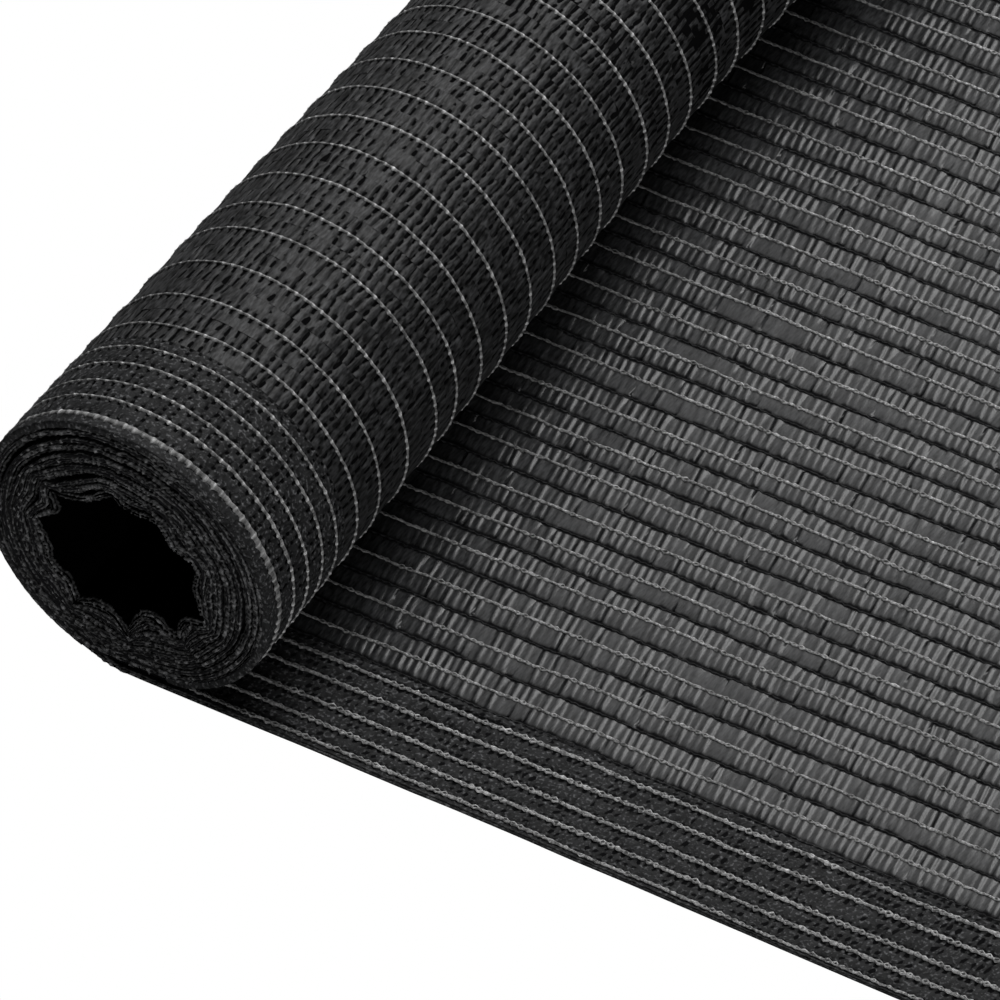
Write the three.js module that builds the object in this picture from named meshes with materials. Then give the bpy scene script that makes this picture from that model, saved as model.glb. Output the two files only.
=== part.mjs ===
// A cut length of knitted shade net, partly unrolled: the wound roll lies on its own loose end.
// +X runs from the roll to the free end, +Y runs along the roll, and the cloth lies on Z = 0.
import * as THREE from 'three';

// Knit, in millimetres, counted across the net from the line of its near selvedge
const FIRST_PALE = 26.7;
const THREE_SPACES = [7.9, 8.2, 9.1];
const PALE_SPACES = [8.9, 9.5, 9.5, ...Array.from({ length: 9 }, () => THREE_SPACES).flat(), 8.4, 8.7, 8.7];
const SELVEDGE_CHAINS = [1.0, 5.2, 9.5, 14.8, 19.6];
const SELVEDGE_MARGIN = 0.9;
const CLOTH_THICKNESS = 1.1;
const RIB_HEIGHT = 0.35;
const PIECE_GAP = 0.3;

// Winding: mean radius at a selvedge, its fall towards the waist, and how far the section is from round
const END_RADIUS = 27.45;
const TAPER = 0.01766;
const TAPER_GROWTH = 0.000068;
const WAIST_ROUNDING = 20;
const OVAL = 1.0;
const OVAL_ANGLE = 122;

// Axis of the winding at a selvedge. The thinner waist lies on the ground too, and a little further back.
const AXIS_X = -21.3;
const AXIS_Z = 27.5;
const WAIST_DRIFT = 0.9;

// The outermost turn fills out to the ground, where the cloth comes off the roll
const LANDING = 1.2;
const LANDING_SPREAD = 12;
const TOUCH_ROUNDING = 0.6;

// Loose end: where it parts from the outermost turn, and where it is cut
const PARTING_X = -24;
const FREE_END_X = 172;

// Ends of the roll: the outermost turn's rim, the step behind it, and how far the inmost turn slid out
const RIM_WIDTH = 1.3;
const RIM_STEP = 0.8;
const SLID_OUT = 0.3;

// Crumpled inmost turn at a selvedge: the angle of each fold from straight down, and its reach from the axis
const HOLLOW_FOLDS = [
  { at: 0, reach: 17.6 },
  { at: 2, reach: 16.1 },
  { at: 8, reach: 14.0 },
  { at: 15, reach: 13.3 },
  { at: 23, reach: 14.0 },
  { at: 29, reach: 16.2 },
  { at: 33, reach: 18.5 },
  { at: 36, reach: 16.9 },
  { at: 42, reach: 15.5 },
  { at: 48, reach: 15.3 },
  { at: 55, reach: 16.3 },
  { at: 63, reach: 16.8 },
  { at: 70, reach: 15.7 },
  { at: 79, reach: 16.1 },
  { at: 91, reach: 17.5 },
  { at: 98, reach: 15.6 },
  { at: 105, reach: 13.5 },
  { at: 110, reach: 14.7 },
  { at: 118, reach: 17.1 },
  { at: 121, reach: 15.3 },
  { at: 125, reach: 13.5 },
  { at: 136, reach: 11.5 },
  { at: 151, reach: 11.7 },
  { at: 163, reach: 12.6 },
  { at: 170, reach: 12.4 },
  { at: 176, reach: 10.5 },
  { at: 190, reach: 10.3 },
  { at: 211, reach: 12.0 },
  { at: 225, reach: 11.0 },
  { at: 236, reach: 10.8 },
  { at: 252, reach: 14.0 },
  { at: 258, reach: 14.4 },
  { at: 267, reach: 13.6 },
  { at: 275, reach: 13.2 },
  { at: 290, reach: 15.5 },
  { at: 300, reach: 17.9 },
  { at: 303, reach: 16.4 },
  { at: 309, reach: 14.7 },
  { at: 318, reach: 15.6 },
  { at: 323, reach: 17.3 },
  { at: 328, reach: 16.3 },
  { at: 336, reach: 12.9 },
  { at: 343, reach: 12.4 },
  { at: 352, reach: 14.4 },
];
const HOLLOW_TWIST = 12;

// Mesh steps
const OUTER_STEPS = 48;
const HOLLOW_STEPS = 2 * OUTER_STEPS;
const HOLLOW_ROWS = 7;

const NET_WIDTH = 2 * FIRST_PALE + PALE_SPACES.reduce((sum, space) => sum + space, 0);
const OVER_SHEET = CLOTH_THICKNESS + RIB_HEIGHT + PIECE_GAP;

const radians = THREE.MathUtils.degToRad;
const bell = (distance, spread) => Math.exp(-((distance / spread) ** 2));

function smoothLesser(a, b, rounding) {
  const share = THREE.MathUtils.clamp(0.5 + (0.5 * (b - a)) / rounding, 0, 1);
  return b + (a - b) * share - rounding * share * (1 - share);
}

// Places of the raised pale chains across the net, both selvedges included
function paleChains() {
  const field = [FIRST_PALE];
  for (const space of PALE_SPACES) {
    field.push(field.at(-1) + space);
  }
  const farSelvedge = SELVEDGE_CHAINS.map((y) => NET_WIDTH - y).reverse();
  return [...SELVEDGE_CHAINS, ...field, ...farSelvedge];
}

// Rows across the net: a ridge on each pale chain, a groove half way between two, and the two cut edges
function clothRows() {
  const chains = paleChains();
  const rows = [{ y: -SELVEDGE_MARGIN, drop: RIB_HEIGHT }];
  chains.forEach((y, k) => {
    rows.push({ y, drop: 0 });
    if (k + 1 < chains.length) {
      rows.push({ y: (y + chains[k + 1]) / 2, drop: RIB_HEIGHT });
    }
  });
  rows.push({ y: NET_WIDTH + SELVEDGE_MARGIN, drop: RIB_HEIGHT });
  return rows;
}

// Mean radius of the winding: it falls from each selvedge to the waist, which is rounded off
function windingRadius(y) {
  const half = NET_WIDTH / 2;
  const rounded = (distance) => Math.hypot(distance, WAIST_ROUNDING) - WAIST_ROUNDING;
  const inward = half * Math.max(0, 1 - rounded(y - half) / rounded(half));
  return END_RADIUS - TAPER * inward - TAPER_GROWTH * inward ** 2;
}

function windingAxis(y) {
  const fall = END_RADIUS - windingRadius(y);
  return { x: AXIS_X - WAIST_DRIFT * fall, z: AXIS_Z - fall };
}

// Angle, from straight down and rising on the roll's left, of the parting line at a height
function partingAngle(y, height) {
  const axis = windingAxis(y);
  return THREE.MathUtils.radToDeg(Math.atan2(axis.x - PARTING_X, axis.z - height));
}

// Distance from the axis to the outermost turn's face. It starts on the ground and ends on the loose end.
function outerReach(angle, y, drop) {
  const axis = windingAxis(y);
  const body = windingRadius(y) + OVAL * Math.cos(radians(2 * (angle - OVAL_ANGLE)));
  const upright = Math.cos(radians(angle));
  if (angle < 90) {
    const landing = LANDING * bell(angle, LANDING_SPREAD);
    const ribs = drop * THREE.MathUtils.smoothstep(angle, 12, 40);
    return smoothLesser(body + landing - ribs, axis.z / upright, TOUCH_ROUNDING);
  }
  if (angle > 270) {
    const ribs = drop * (1 - THREE.MathUtils.smoothstep(angle, 320, 348));
    const onSheet = (axis.z - OVER_SHEET) / Math.max(upright, 0.01);
    return smoothLesser(body - ribs, onSheet, TOUCH_ROUNDING);
  }
  return body - drop;
}

// Reach of the crumpled inmost turn, straight from fold to fold and scaled with the winding
function hollowReach(angle, y) {
  const turned = angle + HOLLOW_TWIST * (y / NET_WIDTH);
  const place = ((turned % 360) + 360) % 360;
  const next = HOLLOW_FOLDS.findIndex((fold) => fold.at > place);
  const after = next < 0 ? { ...HOLLOW_FOLDS[0], at: 360 } : HOLLOW_FOLDS[next];
  const before = HOLLOW_FOLDS.at(next < 0 ? -1 : next - 1);
  const share = (place - before.at) / (after.at - before.at);
  const reach = before.reach + (after.reach - before.reach) * share;
  return (reach * windingRadius(y)) / END_RADIUS;
}

// Point at an angle and a reach from the winding's axis at y, moved along the roll to atY
function aboutAxis(angle, reach, y, atY = y) {
  const axis = windingAxis(y);
  const x = axis.x - reach * Math.sin(radians(angle));
  const z = axis.z - reach * Math.cos(radians(angle));
  return [x, atY, Math.max(z, 0)];
}

// Once round the outermost turn, from the ground at the parting line to just above the loose end there
function outerLoop({ y, drop }, inset = 0, atY = y) {
  const first = partingAngle(y, 0);
  const last = partingAngle(y, OVER_SHEET) + 360;
  const loop = [];
  for (let k = 0; k < OUTER_STEPS; k += 1) {
    const angle = THREE.MathUtils.lerp(first, last, k / (OUTER_STEPS - 1));
    loop.push(aboutAxis(angle, outerReach(angle, y, drop) - inset, y, atY));
  }
  return loop;
}

function hollowLoop(y, atY = y) {
  const loop = [];
  for (let k = 0; k < HOLLOW_STEPS; k += 1) {
    const angle = partingAngle(y, 0) + (360 * k) / HOLLOW_STEPS;
    loop.push(aboutAxis(angle, hollowReach(angle, y), y, atY));
  }
  return loop;
}

// Closed surface through a ring of loops. Where a loop has twice the points of the one before, each
// stretch is three triangles instead of two.
function surfaceThrough(loops) {
  const positions = loops.flat(2);
  const starts = [];
  let count = 0;
  for (const loop of loops) {
    starts.push(count);
    count += loop.length;
  }
  const index = [];
  loops.forEach((loop, k) => {
    const nextK = (k + 1) % loops.length;
    const next = loops[nextK];
    const here = (i) => starts[k] + (i % loop.length);
    const there = (i) => starts[nextK] + (i % next.length);
    if (next.length === loop.length) {
      for (let i = 0; i < loop.length; i += 1) {
        index.push(here(i), here(i + 1), there(i + 1), here(i), there(i + 1), there(i));
      }
    } else if (next.length > loop.length) {
      for (let i = 0; i < loop.length; i += 1) {
        index.push(here(i), here(i + 1), there(2 * i + 1));
        index.push(here(i), there(2 * i + 1), there(2 * i));
        index.push(here(i + 1), there(2 * i + 2), there(2 * i + 1));
      }
    } else {
      for (let i = 0; i < next.length; i += 1) {
        index.push(there(i), here(2 * i), here(2 * i + 1));
        index.push(there(i), here(2 * i + 1), there(i + 1));
        index.push(there(i + 1), here(2 * i + 1), here(2 * i + 2));
      }
    }
  });
  const geometry = new THREE.BufferGeometry();
  geometry.setAttribute('position', new THREE.Float32BufferAttribute(positions, 3));
  geometry.setIndex(index);
  geometry.computeVertexNormals();
  return geometry;
}

// The wound form: ribbed outside, stepped and slid-out ends, and the crumpled hollow right through
function woundRoll() {
  const rows = clothRows();
  const nearEnd = rows[0];
  const farEnd = rows.at(-1);
  const hollow = [];
  for (let k = 0; k < HOLLOW_ROWS; k += 1) {
    const share = k / (HOLLOW_ROWS - 1);
    const y = THREE.MathUtils.lerp(farEnd.y, nearEnd.y, share);
    const slid = THREE.MathUtils.lerp(SLID_OUT, -SLID_OUT, share);
    hollow.push(hollowLoop(y, y + slid));
  }
  return surfaceThrough([
    ...rows.map((row) => outerLoop(row)),
    outerLoop(farEnd, RIM_WIDTH, farEnd.y - RIM_STEP),
    ...hollow,
    outerLoop(nearEnd, RIM_WIDTH, nearEnd.y + RIM_STEP),
  ]);
}

// The flat loose end: its ribbed section across the net, drawn along the cloth
function looseEnd() {
  const rows = clothRows();
  const section = new THREE.Shape();
  section.moveTo(rows[0].y, 0);
  section.lineTo(rows.at(-1).y, 0);
  for (const { y, drop } of rows.toReversed()) {
    section.lineTo(y, CLOTH_THICKNESS + RIB_HEIGHT - drop);
  }
  section.closePath();
  const start = PARTING_X + PIECE_GAP;
  const geometry = new THREE.ExtrudeGeometry(section, { depth: FREE_END_X - start, bevelEnabled: false });
  geometry.applyMatrix4(new THREE.Matrix4().makeBasis(
    new THREE.Vector3(0, 1, 0),
    new THREE.Vector3(0, 0, 1),
    new THREE.Vector3(1, 0, 0),
  ));
  geometry.translate(start, 0, 0);
  return geometry;
}

function named(name, geometry, color, roughness) {
  const mesh = new THREE.Mesh(geometry, new THREE.MeshStandardMaterial({ color, roughness, metalness: 0 }));
  mesh.name = name;
  return mesh;
}

const net = new THREE.Group();
net.add(named('wound_roll', woundRoll(), '#242526', 0.5));
net.add(named('loose_end', looseEnd(), '#4d4e50', 0.42));

// The origin is the middle of the ground that the part covers
const reach = new THREE.Box3().setFromObject(net, true);
net.position.set(-(reach.min.x + reach.max.x) / 2, -(reach.min.y + reach.max.y) / 2, 0);

export default net;
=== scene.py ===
import bpy
import numpy as np
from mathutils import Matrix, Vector


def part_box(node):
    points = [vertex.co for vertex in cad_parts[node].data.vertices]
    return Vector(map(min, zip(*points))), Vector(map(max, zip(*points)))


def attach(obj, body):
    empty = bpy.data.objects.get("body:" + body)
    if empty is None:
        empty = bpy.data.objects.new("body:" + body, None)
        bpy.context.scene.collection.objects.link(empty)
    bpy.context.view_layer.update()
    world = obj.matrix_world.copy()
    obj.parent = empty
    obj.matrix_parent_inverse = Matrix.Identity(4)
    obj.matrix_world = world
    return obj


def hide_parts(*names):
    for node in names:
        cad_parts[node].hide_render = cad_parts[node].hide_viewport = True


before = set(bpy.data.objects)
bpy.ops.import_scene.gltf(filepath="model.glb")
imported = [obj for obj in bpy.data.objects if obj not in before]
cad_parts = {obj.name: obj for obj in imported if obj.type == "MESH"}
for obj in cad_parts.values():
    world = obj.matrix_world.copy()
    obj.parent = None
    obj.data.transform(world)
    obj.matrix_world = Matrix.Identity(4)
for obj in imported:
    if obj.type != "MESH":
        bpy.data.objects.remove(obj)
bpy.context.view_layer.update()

MM = 0.001

# Knit: the near selvedge's chains, and the spaces from each pale chain of the field to the next
COURSE = 1.51
ROLL_COURSE = 1.82  # the cloth is drawn longer on the roll than where it lies loose
NET_WIDTH = 333.9
NET_EDGE = 0.9  # cloth outside the line of each selvedge
SELVEDGE_CHAINS = np.array([1.0, 5.2, 9.5, 14.8, 19.6])
FIRST_DARK = 22.4
FIRST_PALE = 26.7
PALE_SPACES = [8.9, 9.5, 9.5] + 9 * [7.9, 8.2, 9.1] + [8.4, 8.7, 8.7]

# Winding: the radius at a selvedge, its fall to the waist, its oval section and its axis
END_RADIUS = 27.45
TAPER = 0.0150
TAPER_GROWTH = 0.000068
WAIST_ROUNDING = 20.0
OVAL = 1.0
OVAL_ANGLE = 122.0
AXIS_X = -21.3
AXIS_Z = 27.5
WAIST_DRIFT = 0.9
TURNS = 12.0
FIRST_DROP = 0.8  # turns before the winding starts to close in
FOLDS_POWER = 2.6  # how late the further turns take on the folds of the inmost one
RIPPLE, FINE_RIPPLE = 0.22, 0.12  # puckers of the inner turns near both ends
LINE_RADIUS = END_RADIUS - 1  # for distances along the outermost turn
LANDING, LANDING_SPREAD = 0.8, 12.0
TOUCH_ROUNDING = 0.6
SLID_OUT = 0.3

# Loose end, and heights above or out from the middle of the cloth
FREE_END_X = 172.0
GROUND_MIDDLE = 0.2  # height of the cloth's middle where it lies on the ground
CLOTH_BODY = 0.3
ROLL_FACE = 0.32  # from the cloth's middle to the face of its tape on the roll
OVER_SHEET = 2.2  # height of the second turn's middle above the ground
RIBS_FROM_X = -14.0
SWELL = 0.2  # how far the cloth swells up where it is clear of the roll
WANDER, FINE_WANDER = 0.24, 0.11  # how far a chain strays sideways
TAPE_LEAN = 0.19  # how far the tape of the loose end runs towards the roll for each millimetre across
BARS_FROM, BARS_TO = 20.0, 346.0  # wound angles between which the outermost turn shows its knit

# Rows of points along the loose end, and in each turn
CLOTH_ROWS_FLAT, CLOTH_ROWS_A_TURN = 60, 88
CORD_ROWS_FLAT, CORD_ROWS_A_TURN = 256, 260

# Crumpled inmost turn: mean reach, its shift, and each fold's angle and reach
HOLLOW_REACH = 14.5
HOLLOW_SHIFT = 2.9
HOLLOW_SHIFT_ANGLE = 35.0
HOLLOW_TWIST = 12.0
HOLLOW_FOLDS = (
    (0, 17.6), (2, 16.1), (8, 14.0), (15, 13.3), (23, 14.0), (29, 16.2), (33, 18.5),
    (36, 16.9), (42, 15.5), (48, 15.3), (55, 16.3), (63, 16.8), (70, 15.7), (79, 16.1),
    (91, 17.5), (98, 15.6), (105, 13.5), (110, 14.7), (118, 17.1), (121, 15.3), (125, 13.5),
    (136, 11.5), (151, 11.7), (163, 12.6), (170, 12.4), (176, 10.5), (190, 10.3), (211, 12.0),
    (225, 11.0), (236, 10.8), (252, 14.0), (258, 14.4), (267, 13.6), (275, 13.2), (290, 15.5),
    (300, 17.9), (303, 16.4), (309, 14.7), (318, 15.6), (323, 17.3), (328, 16.3), (336, 12.9),
    (343, 12.4), (352, 14.4), (360, 17.6),
)

# The selvedge spreads a little towards the free end: share of the spread at each place across the net
SPREAD_STARTS_X = 20.0
SPREAD_SLOPE = 0.0185
SPREAD_AT = (-1.2, 1.0, 5.0, 9.5, 14.8, 19.6, 26.0)
SPREAD_SHARE = (0.5, 1.0, 0.95, 0.68, 0.3, 0.1, 0.0)

# On the roll the outermost turn has slipped along it: how far, at each place across the net
SLIP_AT = (
    -0.9, 1.0, 5.2, 14.8, 26.7, 35.6, 45, 54.6, 62.5, 70.7,
    80, 87.7, 96, 105, 113, 130, 145, 300, 333.9,
)
SLIP = (
    0.0, 1.4, 2.2, 2.4, 2.4, 1.7, 2.0, 2.7, 2.3, 3.0,
    3.1, 4.1, 4.7, 4.2, 4.6, 4.4, 4.7, 0.5, 0.0,
)

# The frame's origin, seen from the net's own corner
_, sheet_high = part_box("loose_end")
ORIGIN = np.array([sheet_high.x / MM - FREE_END_X, -NET_WIDTH / 2, 0.0])

# Every pale and every dark chain across the whole net; a dark one lies midway between two pale ones
pale_field = FIRST_PALE + np.concatenate([[0], np.cumsum(PALE_SPACES)])
dark_field = np.concatenate([[FIRST_DARK], (pale_field[1:] + pale_field[:-1]) / 2, [NET_WIDTH - FIRST_DARK]])
selvedge_lines = np.concatenate([SELVEDGE_CHAINS, NET_WIDTH - SELVEDGE_CHAINS[::-1]])
pale_chains = np.concatenate([selvedge_lines, pale_field])


def ease(low, high, value):
    """Share of the way from low to high, eased at both ends: 3 t squared less 2 t cubed."""
    t = np.clip((value - low) / (high - low), 0, 1)
    return t * t * (3 - 2 * t)


def bell(distance, spread):
    return np.exp(-((distance / spread) ** 2))


def smooth_lesser(a, b):
    """The lesser of a and b, with the corner between them rounded by a parabola."""
    share = np.clip(0.5 + 0.5 * (b - a) / TOUCH_ROUNDING, 0, 1)
    return b + (a - b) * share - TOUCH_ROUNDING * share * (1 - share)


def soft_noise(u, v, seed):
    """Smooth random field from -1 to 1: random values on whole numbers, eased from one to the next."""
    table = np.random.default_rng(seed).uniform(-1, 1, (256, 256))
    u, v = np.broadcast_arrays(u, v)
    iu, iv = np.floor(u).astype(int), np.floor(v).astype(int)
    fu, fv = ease(0, 1, u - iu), ease(0, 1, v - iv)
    low = table[iu % 256, iv % 256] * (1 - fu) + table[(iu + 1) % 256, iv % 256] * fu
    high = table[iu % 256, (iv + 1) % 256] * (1 - fu) + table[(iu + 1) % 256, (iv + 1) % 256] * fu
    return low * (1 - fv) + high * fv


def cell_noise(i, j, seed):
    """One random value from -1 to 1 for each whole-numbered cell."""
    table = np.random.default_rng(seed).uniform(-1, 1, (251, 241))
    i, j = np.broadcast_arrays(i, j)
    return table[i % 251, j % 241]


def winding_radius(y):
    """Falls from each selvedge to the middle by a straight and a square term, with the waist rounded."""
    half = NET_WIDTH / 2

    def rounded(distance):
        return np.hypot(distance, WAIST_ROUNDING) - WAIST_ROUNDING

    inward = half * np.maximum(0, 1 - rounded(y - half) / rounded(half))
    return END_RADIUS - TAPER * inward - TAPER_GROWTH * inward**2


def winding_axis(y):
    fall = END_RADIUS - winding_radius(y)
    return AXIS_X - WAIST_DRIFT * fall, AXIS_Z - fall


def hollow_reach(angle, y):
    """Reach of the inmost turn: straight from fold to fold, turned slowly along the roll."""
    at, reach = np.array(HOLLOW_FOLDS).T
    return np.interp((angle + HOLLOW_TWIST * y / NET_WIDTH) % 360, at, reach)


def wound_share(angle):
    """Share of the way from the outermost to the inmost turn, a little sooner or later by turns."""
    share = np.clip((angle / 360 - FIRST_DROP) / (TURNS - FIRST_DROP), 0, 1)
    return share + 0.05 * share * (1 - share) * 4 * soft_noise(angle / 150, 0.5, 13)


def turn_reach(angle, y):
    """Distance of the cloth's middle from the axis, by the angle wound from straight down.

    The outermost turn is the oval winding, filled out to the ground where it lands, and held above it.
    Further turns close in on the hollow in proportion to the turns, and take on its folds faster than that.
    """
    radius = winding_radius(y)
    axis_z = winding_axis(y)[1]
    upright = np.maximum(np.cos(np.radians(angle)), 0.01)
    body = radius - ROLL_FACE + OVAL * np.cos(np.radians(2 * (angle - OVAL_ANGLE)))
    body = body + LANDING * bell(angle, LANDING_SPREAD)
    height = np.where(angle < 200, GROUND_MIDDLE, OVER_SHEET)
    outer = smooth_lesser(body, (axis_z - height) / upright)
    share = wound_share(angle)
    plain = HOLLOW_REACH + HOLLOW_SHIFT * np.cos(np.radians(angle - HOLLOW_SHIFT_ANGLE))
    folds = hollow_reach(angle, y) - plain
    slimness = radius / END_RADIUS
    ripple = RIPPLE * soft_noise(angle / 13, 0.5, 14) + FINE_RIPPLE * soft_noise(angle / 5, 0.5, 15)
    settled = outer * (1 - share) + slimness * (plain * share + folds * share**FOLDS_POWER)
    return settled + ripple * ease(0.02, 0.2, share) * ease(25, 5, np.minimum(y, NET_WIDTH - y))


def turn_middle(angle, y):
    axis_x, axis_z = winding_axis(y)
    reach = turn_reach(angle, y)
    return axis_x - reach * np.sin(np.radians(angle)), axis_z - reach * np.cos(np.radians(angle))


def roll_point(angle, y, out):
    """Point at a wound angle and a place across the net, out from the cloth's middle along its normal.

    The normal is the direction along the turn, from just before the point to just after it, turned a quarter.
    Inner turns have slid a little way out of both ends of the roll.
    """
    angle, y, out = np.broadcast_arrays(angle, y, out)
    x0, z0 = turn_middle(angle - 0.4, y)
    x1, z1 = turn_middle(angle + 0.4, y)
    x, z = turn_middle(angle, y)
    length = np.hypot(x1 - x0, z1 - z0)
    slid = SLID_OUT * wound_share(angle) * (2 * y / NET_WIDTH - 1)
    return np.stack([x - out * (z1 - z0) / length, y + slid, z + out * (x1 - x0) / length], axis=-1)


def flat_point(x, y, up):
    """Point on the loose end, up from the cloth's middle.

    It lies on the ground, with low swells along the roll where it is clear of it. It spreads at the selvedge.
    """
    x, y, up = np.broadcast_arrays(x, y, up)
    rise = SWELL * (1 + soft_noise(x / 11 + 40, y / 95, 11)) * ease(0, 40, x)
    from_edge = np.minimum(y, NET_WIDTH - y)
    spread = SPREAD_SLOPE * np.maximum(x - SPREAD_STARTS_X, 0) * np.interp(from_edge, SPREAD_AT, SPREAD_SHARE)
    return np.stack([x, y - spread * np.sign(NET_WIDTH / 2 - y), GROUND_MIDDLE + rise + up], axis=-1)


def drift(y, along):
    """How far the chain at y wanders sideways, by the distance along the cloth from its free end."""
    slow = WANDER * soft_noise(along / 17, y * 7.3 + 0.5, 21)
    return slow + FINE_WANDER * soft_noise(along / 4.5, y * 3.7 + 0.5, 22)


def along_roll(angle):
    return FREE_END_X - AXIS_X + np.radians(angle) * LINE_RADIUS


def roll_angle(along):
    return np.degrees((along + AXIS_X - FREE_END_X) / LINE_RADIUS)


def slipped(y, angle):
    """Where a line of the cloth lies along the roll: its own place and the slip there.

    The slip grows round the lower left, and near the end it leans a little, by a sine of the angle.
    """
    lean = 1 + 0.25 * np.sin(np.radians(angle - 225)) * ease(80, 20, y)
    return y + np.interp(y, SLIP_AT, SLIP) * lean * ease(15, 80, angle)


def as_piece(name, patches, material, flip=False, rows_per_lane=10**6):
    """One mesh from patches, each an array of grids (grid, row, column, xyz) with a tone at every point.

    A patch with a round section joins its last column to its first and has its ends closed. Each stretch of
    a grid has a lane of its own in the flat map of the piece.
    """
    points, tones, faces, sizes, along, lane, share = [], [], [], [], [], [], []
    start = lanes = 0
    for grid, tone, round_section in patches:
        n, rows, columns = grid.shape[:3]
        points.append(grid.reshape(-1, 3))
        tones.append(np.broadcast_to(tone, grid.shape[:3]).reshape(-1))
        number = start + np.arange(n * rows * columns).reshape(n, rows, columns)
        across = columns if round_section else columns - 1
        k, r, c = (a.reshape(-1) for a in np.indices((n, rows - 1, across)))
        right = (c + 1) % columns
        square = [number[k, r, c], number[k, r + 1, c], number[k, r + 1, right], number[k, r, right]]
        quads = np.stack(square, -1)
        stretch = min(rows_per_lane, rows - 1)
        stretches = -(-(rows - 1) // stretch)
        u = (np.stack([r, r + 1, r + 1, r], -1) - (r // stretch * stretch)[:, None]) / stretch
        v = np.stack([c, c, c + 1, c + 1], -1) / across
        faces.append(quads)
        along.append(u)
        share.append(v)
        lane.append(np.repeat(lanes + k * stretches + r // stretch, 4))
        sizes.append(np.full(len(quads), 4))
        lanes += n * stretches
        if round_section:
            caps = np.concatenate([number[:, 0, :], number[:, -1, ::-1]])
            faces.append(caps)
            along.append(np.zeros(caps.shape))
            share.append(np.zeros(caps.shape))
            lane.append(np.zeros(caps.size, int))
            sizes.append(np.full(len(caps), columns))
        start += n * rows * columns
    turn = slice(None, None, -1 if flip else 1)
    corners = np.concatenate([f[:, turn].reshape(-1) for f in faces])
    u = np.concatenate([a[:, turn].reshape(-1) for a in along])
    v = (np.concatenate(lane) + 0.05 + 0.9 * np.concatenate([s[:, turn].reshape(-1) for s in share])) / lanes
    sizes = np.concatenate(sizes)
    mesh = bpy.data.meshes.new(name)
    mesh.vertices.add(start)
    mesh.vertices.foreach_set("co", ((np.concatenate(points) + ORIGIN) * MM).astype(np.float32).ravel())
    mesh.loops.add(len(corners))
    mesh.loops.foreach_set("vertex_index", corners.astype(np.int32))
    mesh.polygons.add(len(sizes))
    mesh.polygons.foreach_set("loop_start", (np.cumsum(sizes) - sizes).astype(np.int32))
    mesh.update(calc_edges=True)
    mesh.polygons.foreach_set("use_smooth", np.ones(len(sizes), bool))
    lanes_map = mesh.uv_layers.new(name="OFBake")
    lanes_map.uv.foreach_set("vector", np.stack([u, v], -1).astype(np.float32).ravel())
    shade = mesh.attributes.new("tone", "FLOAT", "POINT")
    shade.data.foreach_set("value", np.concatenate(tones).astype(np.float32))
    mesh.validate()
    mesh.materials.append(material)
    piece = bpy.data.objects.new(name, mesh)
    bpy.context.scene.collection.objects.link(piece)
    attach(piece, "root")
    return piece


def cloth_body():
    """The cloth itself, a thin closed section carried along the loose end and then round every turn. Its
    near-black colour is painted shade, and on the inner turns its tone falls off with depth from each end,
    painted shade in the hollow.
    """
    half = NET_WIDTH / 2
    stations = np.array([-NET_EDGE, 2, 12, 40, 80, 120, 150, half])
    stations = np.concatenate([stations, NET_WIDTH - stations[-2::-1]])
    y = np.concatenate([stations, stations[::-1]])[None, :]
    side = np.concatenate([np.full(len(stations), 1.0), np.full(len(stations), -1.0)])[None, :]
    share = np.linspace(0, 1, CLOTH_ROWS_FLAT)[:-1, None]
    x = FREE_END_X + (winding_axis(y)[0] - FREE_END_X) * share
    lying = flat_point(x, y, side * CLOTH_BODY / 2)
    angle = np.linspace(0, 360 * TURNS, int(CLOTH_ROWS_A_TURN * TURNS) + 1)[:, None]
    wound = roll_point(angle, y, -side * CLOTH_BODY / 2)
    depth = np.maximum(np.minimum(y, NET_WIDTH - y), 0)
    lying_tone = np.full(x.shape, 2.0)
    # Painted shade: the inner turns darken with depth from each end into the roll, and the inmost turn is
    # nearly black
    wound_painted_shade = np.where(angle < 370, 1.0, 4.0 * np.exp(-depth / 1.5) * (angle < 360 * (TURNS - 1)) + 0.1)
    return [(np.concatenate([lying, wound])[None], np.concatenate([lying_tone, wound_painted_shade])[None], True)]


def in_one_direction(grid, tone, turned):
    """The same grids with the columns of the turned ones reversed, so that all run the same way."""
    tone = np.broadcast_to(tone, grid.shape[:3])
    turned = turned[:, None, None]
    return np.where(turned[..., None], grid[:, :, ::-1], grid), np.where(turned, tone[:, :, ::-1], tone)


def half_gaps(lines):
    """Each space between a chain and the next one, from the pale chain to the dark one."""
    pale, dark = lines
    to_left = np.stack([pale, dark[:-1]], -1)
    to_right = np.stack([pale, dark[1:]], -1)
    return np.stack([to_left, to_right], 1).reshape(-1, 2)


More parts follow.
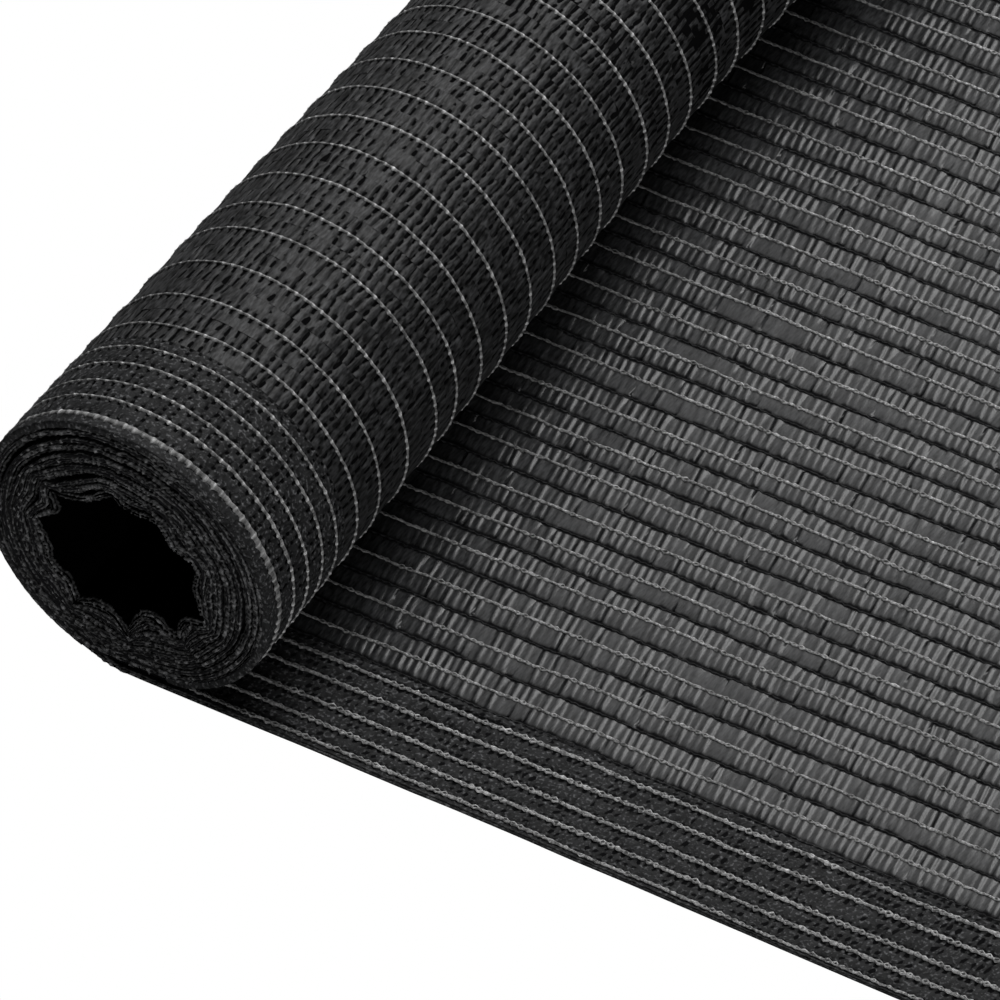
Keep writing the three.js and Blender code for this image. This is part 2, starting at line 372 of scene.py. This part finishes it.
def flat_ribs(gaps):
    """Glossy tape across each half gap of the loose end.

    Along the cloth each course is nearly level for its first third, rises to a low ridge and falls again.
    Across it the tape starts under the pale chain and ends rounded at the groove of the dark one. Ridges
    differ in height, some melt into a smooth film, and all lean a little.
    """
    phases = np.array([0.0, 0.36, 0.6, 0.84])
    heights = np.array([0.0, 0.12, 1.0, 0.4])
    count = int((FREE_END_X - RIBS_FROM_X) / COURSE)
    course = np.repeat(np.arange(count), len(phases))[None, :, None]
    phase = np.tile(phases, count)[None, :, None]
    height = np.tile(heights, count)[None, :, None]
    number = np.arange(len(gaps))[:, None, None]
    pale, dark = gaps[:, 0, None, None], gaps[:, 1, None, None]
    across = np.array([0.04, 0.34, 0.8, 0.92])[None, None, :]
    end_drop = np.array([0.8, 1.0, 0.95, 0.0])[None, None, :]
    column = np.arange(4)[None, None, :]
    film = ease(0.35, 0.8, soft_noise(course / 4.0, number * 1.7 + 0.3, 31))
    film = np.maximum(film, ease(0.7, 0.98, cell_noise(course, number, 32)))
    vigour = 0.8 + 0.4 * cell_noise(course, number, 33)
    vigour = vigour * (1 + 0.45 * cell_noise(course, number * 4 + column, 39))
    slant = 0.1 * cell_noise(course, number, 34) + 0.1 * soft_noise(course / 9, number + 0.5, 35)
    along = COURSE * (course + phase + slant * (across - 0.4) + 0.1 * cell_noise(course, number, 36))
    along = along + TAPE_LEAN * (dark - pale) * across
    x = FREE_END_X - 0.6 - along
    y = pale + (dark - pale) * across + drift(pale, along) * (1 - across) + drift(dark, along) * across
    y = y + 0.24 * cell_noise(course, number, 37) * (across > 0.6)
    relief = height * vigour * (1 - 0.85 * film) * 0.17 + 0.02 * cell_noise(course, number * 4 + column, 40)
    up = 0.17 + end_drop * (relief + 0.1)
    # Random tone, with painted shade: each course is darker in its trough than on its ridge, and the tape
    # darker under the pale chain and at the groove
    tone = 1.0 + 0.2 * cell_noise(course, number, 38) - 0.2 * (1 - height) * (1 - film)
    shade_across_gap = np.array([0.6, 1.0, 1.0, 0.35])
    grid, tone = in_one_direction(flat_point(x, y, up), tone * shade_across_gap, gaps[:, 0] > gaps[:, 1])
    return [(grid, tone, False)]


def roll_bars(gaps):
    """Tape bars across each half gap on the outside of the roll, with sunk slots between them.

    Along the turn a slot sinks in the first part of each course, deeper beside the pale chain and again
    towards the dark one. The slot is painted darker with its depth, painted shade in the hole.
    """
    phases = np.array([0.0, 0.2, 0.34, 0.86])
    sunk = np.array([1.0, 0.9, 0.0, 0.0])
    first, last = along_roll(BARS_FROM), along_roll(BARS_TO)
    count = int((last - first) / ROLL_COURSE)
    course = np.repeat(np.arange(count), len(phases))[None, :, None]
    phase = np.tile(phases, count)[None, :, None]
    sunk = np.tile(sunk, count)[None, :, None]
    number = np.arange(len(gaps))[:, None, None]
    pale, dark = gaps[:, 0, None, None], gaps[:, 1, None, None]
    across = np.array([0.05, 0.25, 0.4, 0.68, 1.0])[None, None, :]
    depth = np.array([1.0, 1.0, 0.3, 0.9, 0.4])[None, None, :]
    column = np.arange(5)[None, None, :]
    shut = ease(0.4, 0.8, soft_noise(course / 3.0, number * 1.9 + 0.3, 41))
    shut = np.maximum(shut, ease(0.5, 0.8, cell_noise(course, number, 42)))
    reach = np.where(across < 0.3, 1 - 0.1 * shut, 1 - 0.8 * shut)
    reach = reach * (0.8 + 0.3 * cell_noise(course, number * 5 + column, 49))
    slant = 0.36 * cell_noise(course, number, 43)
    stray = 0.1 * cell_noise(course, number, 44)
    along = first + ROLL_COURSE * (course + phase + slant * (across - 0.3) + stray)
    angle = roll_angle(along)
    y = pale + (dark - pale) * across + drift(pale, along) * (1 - across) + drift(dark, along) * across
    hole = sunk * depth * reach
    crown = 0.05 * cell_noise(course, number, 46) + 0.05 * cell_noise(course, number * 5 + column, 48)
    out = 0.32 + crown - 0.06 * across - 0.4 * hole
    # Painted shade: the slots are painted near-black by their depth
    tone = (1.0 + 0.25 * cell_noise(course, number, 47)) * (1 - 0.97 * ease(0.1, 0.5, hole))
    grid, tone = in_one_direction(roll_point(angle, slipped(y, angle), out), tone, gaps[:, 0] > gaps[:, 1])
    return [(grid, tone, False)]


def chain(lines, rows, course, sides, place, width, height, twist, link_tone, knot_highlight):
    """A chain of stitches along each line: a tube that swells at each knot, and slants in between.

    The knot's share is the cube of half of one plus the cosine of the course, times a random amount. The
    tube leaves a knot on one side of the line and comes to the next on the other side.
    """
    turn = np.radians(np.arange(sides) * 360 / sides + 90)[None, None, :]
    line = np.asarray(lines)[:, None, None]
    number = np.arange(len(lines))[:, None, None]
    along = rows[None, :, None]
    phase = along / course + 0.001
    stitch = np.floor(phase).astype(int)
    nearest = np.round(phase).astype(int)
    knot = (0.5 + 0.5 * np.cos(2 * np.pi * phase)) ** 3 * (1 + 0.3 * cell_noise(nearest, number, 54))
    swell = (0.8 + 0.4 * knot) * (1 + 0.12 * cell_noise(stitch, number, 51))
    swing = twist * ((2 * (phase - stitch) - 1) * (1 + 0.5 * cell_noise(stitch, number, 52))
                     + 0.4 * cell_noise(nearest, number, 55))
    y = line + drift(line, along) + swing + width * swell * np.cos(turn)
    lift = height * swell * np.sin(turn)
    # Painted highlight: each knot is painted lighter than the links between the knots
    tone = link_tone * (1 + 0.25 * cell_noise(stitch, number, 53)) + knot_highlight * knot
    return [(place(along, y, lift), tone, True)]


def two_strands(lines, rows, course, place, width, gap):
    """Two fine strands along each line that cross at every course and part in between, by a sine.

    They are painted darker where they come out from under the roll, painted shade of the roll.
    """
    patches = []
    for side in (-1, 1):
        turn = np.radians(np.array([90, 210, 330]))[None, None, :]
        line = np.asarray(lines)[:, None, None]
        number = np.arange(len(lines))[:, None, None] * 2 + (side > 0)
        along = rows[None, :, None]
        phase = along / course
        beat = np.round(phase * 2).astype(int)
        parted = gap * side * np.sin(np.pi * phase) * (1 + 0.7 * cell_noise(beat, number, 56))
        size = width * (1 + 0.3 * cell_noise(beat, number, 57))
        y = line + drift(line, along) + parted + 0.1 * cell_noise(beat, number, 58) + size * np.cos(turn)
        lift = size * np.sin(turn) + 0.06 * side * np.cos(np.pi * phase)
        # Painted shade: the strands darken towards the roll's foot
        shade_by_roll = 0.4 + 0.6 * ease(-8, 30, FREE_END_X - along)
        tone = (1.1 + 0.35 * cell_noise(beat, number, 59)) * shade_by_roll
        patches.append((place(along, y, lift), tone, True))
    return patches


def on_flat(up):
    return lambda along, y, lift: flat_point(FREE_END_X - along, y, up + lift)


def on_roll(out):
    def place(along, y, lift):
        angle = roll_angle(along)
        return roll_point(angle, slipped(y, angle), out + lift)
    return place


def rows_between(first, last, course, per_course):
    rows = np.arange(np.ceil(first / course * per_course), np.floor(last / course * per_course))
    return rows * course / per_course


def selvedge_ground(first, last, course, phases, sunk, place, holes, rim, seed):
    """The close-knitted ground between the selvedge chains, over both selvedges.

    Random bumps, with a hole sunk on both sides of each chain once a course, and here and there one midway.
    Rim is how far the turned edge reaches in from the face of the cloth.
    """
    edges = np.concatenate([[-NET_EDGE], SELVEDGE_CHAINS, [FIRST_DARK]])
    steps = np.array([0.0, 0.09, 0.2, 0.28, 0.5, 0.72, 0.8, 0.91])
    across = np.concatenate([a + (b - a) * steps for a, b in zip(edges, edges[1:])] + [[FIRST_DARK]])
    first_share, share = [0, 0, 0, 0, 0, 0, 0.8, 0.8], [0, 1, 1, 0, 0.4, 0, 1, 1]
    beside = np.concatenate([first_share] + [share] * (len(edges) - 2) + [[0]])
    turned = np.array([rim, rim * 0.5])
    inward = np.concatenate([turned, np.zeros(len(across))])[None, None, :]
    across = np.concatenate([[-NET_EDGE - 0.05, -NET_EDGE - 0.1], across])[None, None, :]
    beside = np.concatenate([[0, 0], beside])[None, None, :]
    count = int((last - first) / course)
    stitch = np.repeat(np.arange(count), len(phases))[None, :, None]
    along = first + course * (stitch + np.tile(phases, count)[None, :, None])
    sunk = np.tile(sunk, count)[None, :, None]
    i, j = np.arange(count * len(phases))[None, :, None], np.arange(across.shape[2])[None, None, :]
    pair = (j - 2) // 2 + 500
    loose = (across > 0) * (across < FIRST_DARK - 0.1)
    grids, tones = [], []
    for far in (False, True):
        bump = cell_noise(i, j + 60 * far, seed)
        here = cell_noise(stitch, pair + 60 * far, seed + 4)
        hole = holes * sunk * (here > 1 - 2 * beside) * (0.8 + 0.2 * here) * (beside > 0)
        lean = 0.14 * course * cell_noise(stitch, pair + 60 * far, seed + 5)
        y = across + 0.07 * cell_noise(i, j, seed + 1) * loose + drift(across, along) * loose
        y = NET_WIDTH - y if far else y
        up = 0.08 + 0.07 * bump - 0.36 * hole - inward
        grid = place(along + lean, y, up)
        grids.append(grid[:, :, ::-1] if far else grid)
        tone = 0.85 + 0.45 * bump + 0.25 * cell_noise(i, j, seed + 3)
        # Painted shade: each sunk hole is painted dark
        tone = tone * (1 - 0.97 * np.minimum(hole * 1.2, 1))
        tones.append(tone[:, :, ::-1] if far else tone)
    return [(g, t, False) for g, t in zip(grids, tones)]


def edge_cord():
    """The turned edge threads along each selvedge, from the free end to the inmost turn.

    A thicker tube lies at the edge of the cloth and a finer one beside its inner face. Both are as thick as
    the space to the next turn leaves room for. Their tone changes from row to row and from side to side,
    painted highlights and shade of a twist.
    """
    flat_x = np.linspace(FREE_END_X, AXIS_X, CORD_ROWS_FLAT)[:-1, None]
    angle = np.linspace(0, 360 * TURNS, int(CORD_ROWS_A_TURN * TURNS) + 1)[:, None]
    before = np.where(angle > 360 * (TURNS - 1), angle - 360, angle)
    rows = len(flat_x) + len(angle)
    beat = np.arange(rows)[:, None]
    patches = []
    for far in (False, True):
        edge = NET_WIDTH * far
        room = np.clip(turn_reach(before, edge) - turn_reach(before + 360, edge), 0.7, 1.5)
        for fine in (False, True):
            turn = np.radians(np.arange(3 if fine else 4) * (120 if fine else 90) + 45)[None, :]
            size, seed = (0.27, 90) if fine else (0.4, 61)
            lump = 1 + 0.2 * cell_noise(beat, far, seed) + 0.14 * np.cos(np.pi * beat)
            swerve = 0.3 * soft_noise(beat / 9.0, 3.5 + 20 * far, seed + 1)
            swerve = swerve + 0.2 * cell_noise(beat, 5 + far, seed + 2)
            swerve[:len(flat_x)] *= 0.3
            y = -NET_EDGE + (0.6 if fine else 0.35) + swerve + size * lump * np.cos(turn)
            y = NET_WIDTH - y if far else y
            out = 0.86 * size * lump * np.sin(turn) - 0.5 * fine
            out = out + 0.1 * cell_noise(beat, 7 + far, seed + 3) * fine
            lying = flat_point(flat_x, y[:len(flat_x)], 0.12 - 0.5 * out[:len(flat_x)])
            near_ground = 0.5 + 0.5 * ease(0, 20, angle)
            wound = roll_point(angle, y[len(flat_x):], out[len(flat_x):] * room * near_ground)
            grid = np.concatenate([lying, wound])[None]
            side = np.arange(len(turn[0]))
            # Painted highlight and shade: the tone alternates from row to row and side to side, like the
            # light on a twist
            tone = 0.9 + 0.35 * np.cos(np.pi * (beat + side)) + 0.9 * cell_noise(beat, 9 + fine, 64)
            tone = np.maximum(tone, 0.12) * (0.4 if fine else 1.0)
            patches.append((grid[:, :, ::-1] if far else grid, tone, True))
    return patches


# Materials
def group(name, inputs, outputs):
    """An empty node group with named number inputs and outputs, and its two end nodes."""
    tree = bpy.data.node_groups.new(name, "ShaderNodeTree")
    for label, kind, value in inputs:
        socket = tree.interface.new_socket(label, in_out="INPUT", socket_type=kind)
        socket.default_value = value
    for label, kind in outputs:
        tree.interface.new_socket(label, in_out="OUTPUT", socket_type=kind)
    return tree, tree.nodes.new("NodeGroupInput"), tree.nodes.new("NodeGroupOutput")


def maths(tree, operation, a, b):
    node = tree.nodes.new("ShaderNodeMath")
    node.operation = operation
    for socket, value in zip(node.inputs, (a, b)):
        if hasattr(value, "type"):
            tree.links.new(value, socket)
        else:
            socket.default_value = value
    return node.outputs[0]


def noise(tree, scale, detail, stretch):
    """Noise on object coordinates in cells of 1 / scale metre, stretched along an axis."""
    place = tree.nodes.new("ShaderNodeTexCoord")
    mapping = tree.nodes.new("ShaderNodeMapping")
    mapping.inputs["Scale"].default_value = stretch
    node = tree.nodes.new("ShaderNodeTexNoise")
    node.inputs["Detail"].default_value = detail
    tree.links.new(place.outputs["Object"], mapping.inputs["Vector"])
    tree.links.new(mapping.outputs[0], node.inputs["Vector"])
    if hasattr(scale, "type"):
        tree.links.new(scale, node.inputs["Scale"])
    else:
        node.inputs["Scale"].default_value = scale
    return node.outputs["Fac"]


# Streaks of drawn plastic: fine lines along the tape, and a soft unevenness
tape_streaks, ends_in, ends_out = group(
    "Tape streaks",
    [("Unevenness", "NodeSocketFloat", 0.2)],
    [("Shade", "NodeSocketFloat"), ("Height", "NodeSocketFloat")],
)
fine = noise(tape_streaks, 2400, 2, (1.0, 0.25, 1.0))
broad = noise(tape_streaks, 500, 1, (1.0, 1.0, 1.0))
both = maths(tape_streaks, "ADD", fine, maths(tape_streaks, "MULTIPLY", broad, 0.4))
swing = maths(tape_streaks, "SUBTRACT", both, 0.7)
swing = maths(tape_streaks, "MULTIPLY", swing, ends_in.outputs["Unevenness"])
shade = maths(tape_streaks, "MAXIMUM", maths(tape_streaks, "ADD", swing, 1.0), 0.1)
tape_streaks.links.new(shade, ends_out.inputs["Shade"])
tape_streaks.links.new(fine, ends_out.inputs["Height"])

# Flecks: a share of small spots that are lighter than the rest
flecks, ends_in, ends_out = group(
    "Flecks",
    [
        ("Size", "NodeSocketFloat", 700.0),
        ("Level", "NodeSocketFloat", 0.6),
        ("Amount", "NodeSocketFloat", 2.0),
    ],
    [("Shade", "NodeSocketFloat"), ("Height", "NodeSocketFloat")],
)
spots = noise(flecks, ends_in.outputs["Size"], 1, (1.0, 1.0, 1.0))
above = maths(flecks, "MAXIMUM", maths(flecks, "SUBTRACT", spots, ends_in.outputs["Level"]), 0.0)
lifted = maths(flecks, "ADD", maths(flecks, "MULTIPLY", above, ends_in.outputs["Amount"]), 1.0)
flecks.links.new(lifted, ends_out.inputs["Shade"])
flecks.links.new(spots, ends_out.inputs["Height"])


def net_material(name, colour, roughness, effect, settings, bump, specular):
    """Colour times the piece's tone and the effect's shade, with the effect's height as a bump."""
    material = bpy.data.materials.new(name)
    material.use_nodes = True
    tree = material.node_tree
    shader = tree.nodes["Principled BSDF"]
    shader.inputs["Specular IOR Level"].default_value = specular
    tone = tree.nodes.new("ShaderNodeAttribute")
    tone.attribute_name = "tone"
    made = tree.nodes.new("ShaderNodeGroup")
    made.node_tree = effect
    for label, value in settings.items():
        made.inputs[label].default_value = value
    shade = maths(tree, "MULTIPLY", tone.outputs["Fac"], made.outputs["Shade"])
    scaled = tree.nodes.new("ShaderNodeVectorMath")
    scaled.operation = "SCALE"
    scaled.inputs[0].default_value = colour
    tree.links.new(shade, scaled.inputs["Scale"])
    tree.links.new(scaled.outputs[0], shader.inputs["Base Color"])
    shader.inputs["Roughness"].default_value = roughness
    raised = tree.nodes.new("ShaderNodeBump")
    raised.inputs["Strength"].default_value = 1.0
    raised.inputs["Distance"].default_value = bump * MM
    tree.links.new(made.outputs["Height"], raised.inputs["Height"])
    tree.links.new(raised.outputs["Normal"], shader.inputs["Normal"])
    return material


def streaked(name, colour, roughness, unevenness, bump, specular):
    return net_material(name, colour, roughness, tape_streaks, {"Unevenness": unevenness}, bump, specular)


outer_tape = streaked("outer tape", (0.04, 0.0405, 0.042), 0.5, unevenness=6.0, bump=0.04, specular=0.3)
# The shaded cloth's near-black colour is painted shade, for the cloth seen through slots, grooves and the
# hollow
shaded_cloth = streaked("shaded cloth", (0.006, 0.006, 0.0065), 0.9, unevenness=0.5, bump=0.02, specular=0.04)
inner_tape = streaked("inner tape", (0.049, 0.05, 0.052), 0.27, unevenness=2.5, bump=0.014, specular=0.4)
pale_thread = streaked("pale thread", (0.75, 0.75, 0.75), 0.5, unevenness=3.0, bump=0.04, specular=0.3)
dark_thread = streaked("dark thread", (0.015, 0.0154, 0.0165), 0.4, unevenness=0.8, bump=0.03, specular=0.4)
edge_thread = streaked("edge thread", (0.16, 0.161, 0.164), 0.6, unevenness=4.0, bump=0.05, specular=0.2)
speckle = {"Size": 1600.0, "Level": 0.54, "Amount": 24.0}
close_knit = net_material("close knit", (0.042, 0.0425, 0.044), 0.6, flecks, speckle, bump=0.1, specular=0.15)

# The net
flat_rows = FREE_END_X - RIBS_FROM_X
roll_first, roll_last = along_roll(BARS_FROM), along_roll(BARS_TO)
gaps = half_gaps((pale_field, dark_field))
near_gaps, far_gaps = gaps[:len(gaps) // 2], gaps[len(gaps) // 2:]
net = as_piece("net_cloth", cloth_body(), shaded_cloth, flip=True, rows_per_lane=80)
roll_rows = rows_between(roll_first, roll_last, ROLL_COURSE, 4)
two_rows = rows_between(0, flat_rows, COURSE, 2)
edge_lines = np.array([SELVEDGE_CHAINS[0], NET_WIDTH - SELVEDGE_CHAINS[0]])
inner_lines = np.setdiff1d(pale_chains, edge_lines)
details = [
    as_piece("ribs_near", flat_ribs(near_gaps), inner_tape, flip=True),
    as_piece("ribs_far", flat_ribs(far_gaps), inner_tape, flip=True),
    as_piece("bars_near", roll_bars(near_gaps), outer_tape),
    as_piece("bars_far", roll_bars(far_gaps), outer_tape),
    as_piece(
        "pale_chains_flat",
        two_strands(pale_field, two_rows, COURSE, on_flat(up=0.42), width=0.18, gap=0.2)
        + two_strands(selvedge_lines, two_rows, COURSE, on_flat(up=0.46), width=0.25, gap=0.28),
        pale_thread,
    ),
    as_piece(
        "pale_chains_roll",
        chain(
            inner_lines, roll_rows, ROLL_COURSE, sides=4, place=on_roll(out=0.33),
            width=0.36, height=0.27, twist=0.08, link_tone=0.42, knot_highlight=0.85,
        )
        + chain(
            edge_lines, roll_rows, ROLL_COURSE, sides=6, place=on_roll(out=0.3),
            width=0.46, height=0.26, twist=0.1, link_tone=0.36, knot_highlight=0.5,
        ),
        pale_thread,
        flip=True,
    ),
    as_piece(
        "dark_chains",
        chain(
            dark_field, two_rows, COURSE, sides=3, place=on_flat(up=0.2),
            width=0.24, height=0.17, twist=0.2, link_tone=0.4, knot_highlight=3.0,
        ),
        dark_thread,
    ),
    as_piece(
        "selvedge_flat",
        selvedge_ground(
            0, flat_rows, COURSE, phases=(0.0, 0.42, 0.62), sunk=(0, 1, 1),
            place=on_flat(up=0.16), holes=0.5, rim=0.15, seed=71,
        ),
        close_knit,
        flip=True,
    ),
    as_piece(
        "selvedge_roll",
        selvedge_ground(
            roll_first, roll_last, ROLL_COURSE, phases=(0.0, 0.32, 0.44, 0.7, 0.82), sunk=(0, 0, 1, 1, 0),
            place=on_roll(out=0.26), holes=1.0, rim=1.3, seed=81,
        ),
        close_knit,
    ),
    as_piece("edge_cords", edge_cord(), edge_thread, flip=True, rows_per_lane=200),
]
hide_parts("wound_roll", "loose_end")

# Ground: plain and white, as in a studio. Its own grey keeps the light that it throws back low.
GROUND_REACH = 4
GROUND_GREY = 0.45
ground_corners = [(x * GROUND_REACH, y * GROUND_REACH, 0) for x, y in ((-1, -1), (1, -1), (1, 1), (-1, 1))]
ground_mesh = bpy.data.meshes.new("ground")
ground_mesh.from_pydata(ground_corners, [], [(0, 1, 2, 3)])
ground = bpy.data.objects.new("ground", ground_mesh)
bpy.context.scene.collection.objects.link(ground)
white = bpy.data.materials.new("white ground")
white.use_nodes = True
tree = white.node_tree
tree.nodes["Principled BSDF"].inputs["Base Color"].default_value = (GROUND_GREY, GROUND_GREY, GROUND_GREY, 1)
tree.nodes["Principled BSDF"].inputs["Roughness"].default_value = 0.9
glow = tree.nodes.new("ShaderNodeEmission")
seen = tree.nodes.new("ShaderNodeLightPath")
mix = tree.nodes.new("ShaderNodeMixShader")
tree.links.new(seen.outputs["Is Camera Ray"], mix.inputs["Fac"])
tree.links.new(tree.nodes["Principled BSDF"].outputs[0], mix.inputs[1])
tree.links.new(glow.outputs[0], mix.inputs[2])
tree.links.new(mix.outputs[0], tree.nodes["Material Output"].inputs["Surface"])
ground_mesh.materials.append(white)

# Light: three soft boxes behind and above, that the flat ribs mirror, and a low one in front for the end
LIGHT_DISTANCE = 1.2
WORLD_LIGHT = 0.035


def soft_box(name, direction, width, height, watts):
    data = bpy.data.lights.new(name, "AREA")
    data.shape = "RECTANGLE"
    data.size = width
    data.size_y = height
    data.energy = watts
    lamp = bpy.data.objects.new(name, data)
    bpy.context.scene.collection.objects.link(lamp)
    away = Vector(direction).normalized()
    lamp.location = away * LIGHT_DISTANCE
    lamp.rotation_euler = away.to_track_quat("Z", "Y").to_euler()


soft_box("broad box", (-0.37, 0.62, 0.69), width=1.0, height=1.0, watts=2.5)
soft_box("strip box", (-0.17, 0.62, 0.76), width=0.2, height=1.0, watts=3.6)
soft_box("second strip", (0.08, 0.6, 0.8), width=0.35, height=1.0, watts=2.8)
soft_box("low box", (0.5, -0.85, 0.13), width=0.8, height=0.2, watts=2.0)

world = bpy.data.worlds.new("studio")
bpy.context.scene.world = world
world.use_nodes = True
background = world.node_tree.nodes["Background"]
background.inputs["Color"].default_value = (1, 1, 1, 1)
background.inputs["Strength"].default_value = WORLD_LIGHT

bpy.context.scene.view_settings.view_transform = "Standard"

# Camera: nearly parallel, seen from the photograph's side. A longer lens leaves the other sides' views empty.
VIEW_AT = (10.61, 67.9)  # where the middle of the view meets the ground
VIEW_BACK = Vector((0.3728, -0.623, 0.6877)).normalized()
VIEW_CENTRE = Vector(((VIEW_AT[0] + ORIGIN[0]) * MM, (VIEW_AT[1] + ORIGIN[1]) * MM, 0))
VIEW_WIDTH = 169.0 * MM
LENS, SENSOR = 1500.0, 36.0
camera_data = bpy.data.cameras.new("camera")
camera_data.lens = LENS
camera_data.sensor_width = SENSOR
camera_data.clip_start = 0.1
camera_data.clip_end = 100
camera = bpy.data.objects.new("camera", camera_data)
bpy.context.scene.collection.objects.link(camera)
camera.location = VIEW_CENTRE + VIEW_BACK * (VIEW_WIDTH * LENS / SENSOR)
camera.rotation_euler = VIEW_BACK.to_track_quat("Z", "Y").to_euler()
bpy.context.scene.camera = camera
